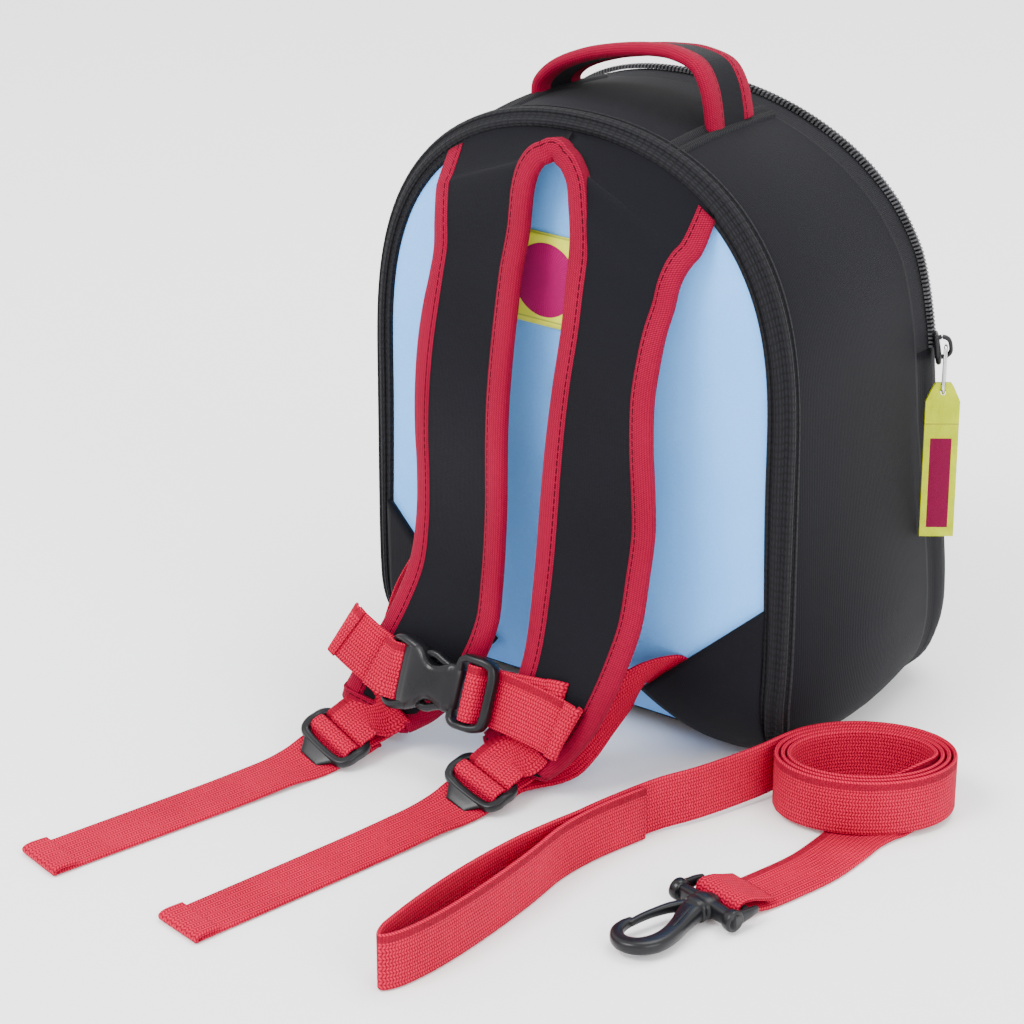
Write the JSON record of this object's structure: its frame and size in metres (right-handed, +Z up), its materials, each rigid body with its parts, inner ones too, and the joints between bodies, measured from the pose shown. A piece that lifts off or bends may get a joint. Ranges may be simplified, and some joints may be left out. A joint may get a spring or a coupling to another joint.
{
  "type": "toddler harness backpack",
  "caption": "Small arched toddler backpack with padded shoulder straps, chest buckle, carry handle, zip with a tag, and a separate webbing tether with a snap hook.",
  "frame": {"origin": "on the floor under the middle of the bag, in the line of its flat base", "axes": "+Z up; -Y towards the wearer's back, where the straps are; +Y towards the zipped front; +X to the wearer's right seen from behind the straps"},
  "size_m": [0.2995, 0.3946, 0.309],
  "materials": {
    "blue cloth": "matt jersey over foam",
    "black cloth": "matt jersey over foam",
    "binding": "folded woven tape",
    "webbing": "woven webbing",
    "label": "woven label",
    "disc": "woven",
    "steel": "bright wire",
    "zip teeth": "satin",
    "black plastic": "satin moulded"
  },
  "bodies": {
    "bag": {"back_panel": "blue cloth", "gusset_top": "black cloth", "gusset_side": "black cloth", "zip_tape": "black cloth", "front_panel": "black cloth", "back_seam": "black cloth", "corner_patch_left": "black cloth", "corner_patch_right": "black cloth", "label": "label", "label_disc": "disc", "cross_seam_left": "black cloth", "cross_seam_right": "black cloth", "zip_chain": "zip teeth", "handle": "black cloth", "handle_binding_near": "webbing", "handle_binding_far": "webbing", "shoulder_straps": "black cloth", "strap_binding_left": "binding", "strap_binding_right": "binding", "strap_binding_inner": "binding", "adjuster_left": "black plastic", "end_loop_left": "webbing", "lower_webbing_left": "webbing", "tail_hem_left": "webbing", "adjuster_right": "black plastic", "end_loop_right": "webbing", "lower_webbing_right": "webbing", "tail_hem_right": "webbing", "buckle_female": "black plastic", "buckle_male": "black plastic", "chest_webbing_left": "webbing", "chest_webbing_right": "webbing", "zip_slider": "black plastic", "pull_wire": "steel", "pull_tag": "label", "tether": "webbing", "hook_base": "black plastic"},
    "hook": {"snap_hook": "black plastic"}
  },
  "joints": [
    {"name": "hook_swivel", "type": "hinge", "parent": "bag", "child": "hook", "pos_m": [0.13553, -0.15559, 0.0056], "axis": [-0.2599, -0.9656, 0], "continuous": true}
  ]
}
